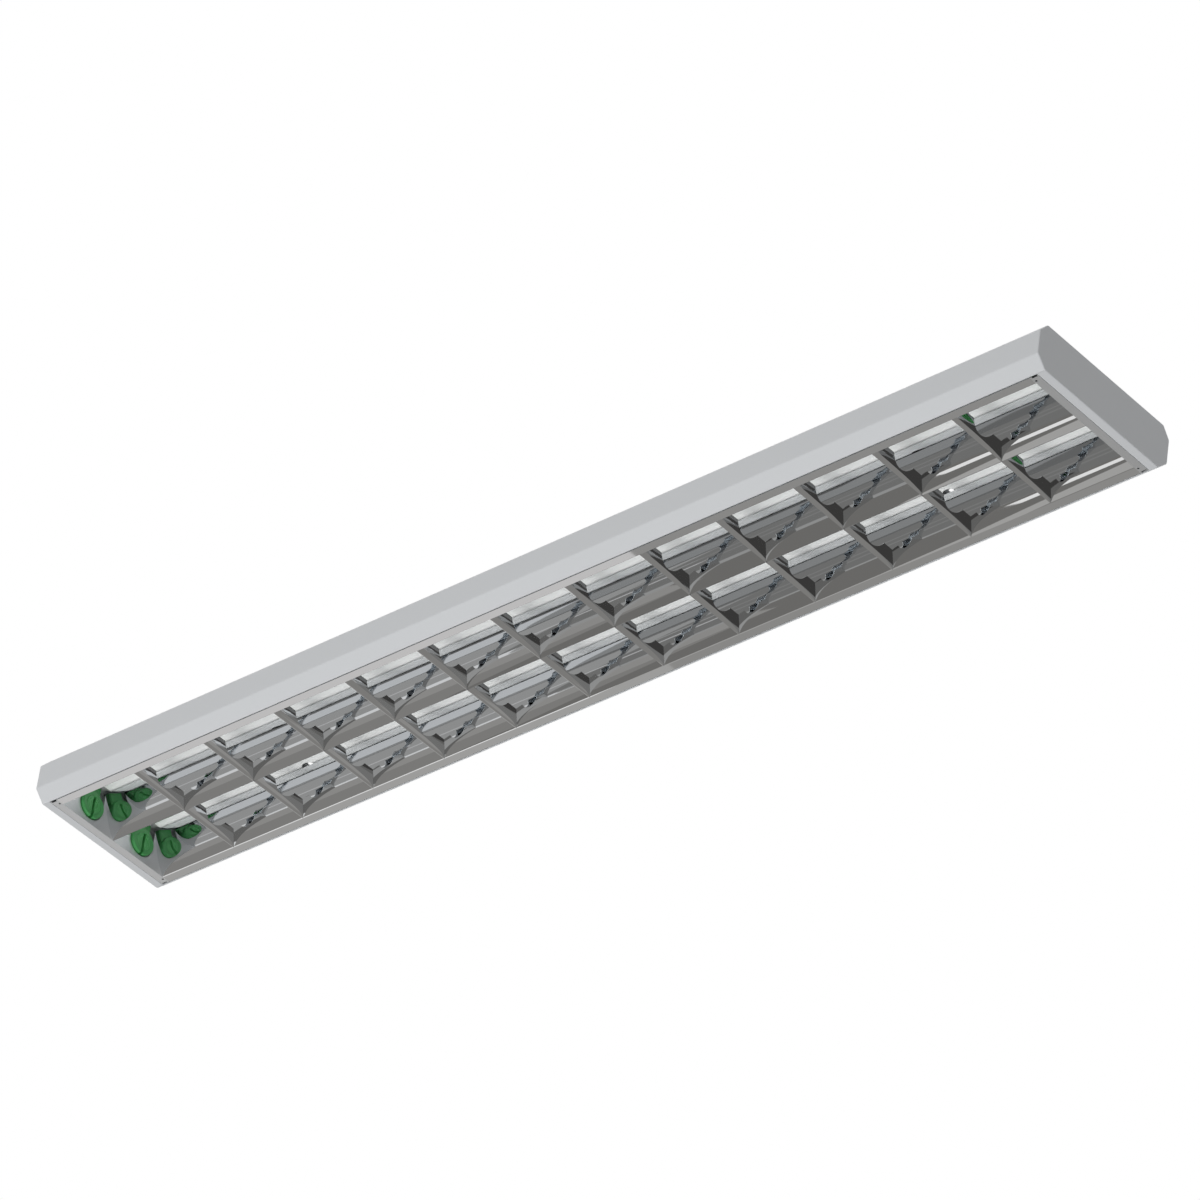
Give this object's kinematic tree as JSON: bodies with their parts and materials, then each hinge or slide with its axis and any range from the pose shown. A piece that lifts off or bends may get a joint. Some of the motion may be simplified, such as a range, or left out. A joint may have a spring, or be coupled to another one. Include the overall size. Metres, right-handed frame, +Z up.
{
  "type": "surface mount tube light",
  "caption": "Low surface-mounted ceiling luminaire with a chamfered sheet-steel body, green rotary lampholders and a mirror louvre with notched cross blades.",
  "frame": {"origin": "middle of the body's upper face, which lies on the ceiling, at the centre of the four fixing holes", "axes": "+X along the tubes, +Y across the body, +Z up into the ceiling"},
  "size_m": [1.245, 0.187, 0.05],
  "materials": {
    "housing_enamel": "pale grey stove enamel, satin",
    "tray_enamel": "white reflective enamel, satin",
    "gear_steel": "white enamel, satin",
    "circuit_board": "resin board, matt",
    "grey_moulding": "grey moulding, matt",
    "white_moulding": "white moulding, semi-gloss",
    "grommet_rubber": "black rubber, matt",
    "spring_steel": "spring steel, bright rolled",
    "plated_screws": "zinc plated",
    "plated_sheet": "zinc coated sheet",
    "green_moulding": "green moulding, satin",
    "green_rotor": "green moulding, satin",
    "contact_brass": "phosphor bronze leaf",
    "bright_aluminium": "anodised mirror-bright sheet"
  },
  "bodies": {
    "fitting": {"housing_body": "housing_enamel", "end_cap_left": "housing_enamel", "end_cap_right": "housing_enamel", "gear_tray": "tray_enamel", "gear_case": "gear_steel", "gear_circuit": "circuit_board", "gear_terminals": "grey_moulding", "terminal_block": "white_moulding", "cable_grommet": "grommet_rubber", "louvre_clips": "spring_steel", "tray_screws": "plated_screws", "gear_screws": "plated_screws", "earth_screw": "plated_screws", "cap_screws_left": "plated_screws", "cap_screws_right": "plated_screws", "bracket_screws_left": "plated_screws", "bracket_screws_right": "plated_screws", "holder_bracket_left": "plated_sheet", "holder_bracket_right": "plated_sheet", "lampholder_body_left_near": "green_moulding", "lampholder_contacts_left_near": "contact_brass", "lampholder_body_left_far": "green_moulding", "lampholder_contacts_left_far": "contact_brass", "lampholder_body_right_near": "green_moulding", "lampholder_contacts_right_near": "contact_brass", "lampholder_body_right_far": "green_moulding", "lampholder_contacts_right_far": "contact_brass"},
    "louvre": {"louvre_centre_reflector": "bright_aluminium", "louvre_side_near": "bright_aluminium", "louvre_side_far": "bright_aluminium", "louvre_end_left": "bright_aluminium", "louvre_end_right": "bright_aluminium", "cross_blade_01": "bright_aluminium", "cross_blade_02": "bright_aluminium", "cross_blade_03": "bright_aluminium", "cross_blade_04": "bright_aluminium", "cross_blade_05": "bright_aluminium", "cross_blade_06": "bright_aluminium", "cross_blade_07": "bright_aluminium", "cross_blade_08": "bright_aluminium", "cross_blade_09": "bright_aluminium", "cross_blade_10": "bright_aluminium", "cross_blade_11": "bright_aluminium", "cross_blade_12": "bright_aluminium"},
    "rotor_left_near": {"lampholder_rotor_left_near": "green_rotor"},
    "rotor_left_far": {"lampholder_rotor_left_far": "green_rotor"},
    "rotor_right_near": {"lampholder_rotor_right_near": "green_rotor"},
    "rotor_right_far": {"lampholder_rotor_right_far": "green_rotor"}
  },
  "joints": [
    {"name": "louvre_release", "type": "slide", "parent": "fitting", "child": "louvre", "axis": [0, 0, -1], "range_m": [0, 0.06]},
    {"name": "rotor_turn_left_near", "type": "hinge", "parent": "fitting", "child": "rotor_left_near", "pos_m": [-0.60365, -0.0357, -0.0294], "axis": [1, 0, 0], "range_deg": [0, 90]},
    {"name": "rotor_turn_left_far", "type": "hinge", "parent": "fitting", "child": "rotor_left_far", "pos_m": [-0.60365, 0.0357, -0.0294], "axis": [1, 0, 0], "range_deg": [0, 90]},
    {"name": "rotor_turn_right_near", "type": "hinge", "parent": "fitting", "child": "rotor_right_near", "pos_m": [0.60365, -0.0357, -0.0294], "axis": [1, 0, 0], "range_deg": [0, 90]},
    {"name": "rotor_turn_right_far", "type": "hinge", "parent": "fitting", "child": "rotor_right_far", "pos_m": [0.60365, 0.0357, -0.0294], "axis": [1, 0, 0], "range_deg": [0, 90]}
  ]
}
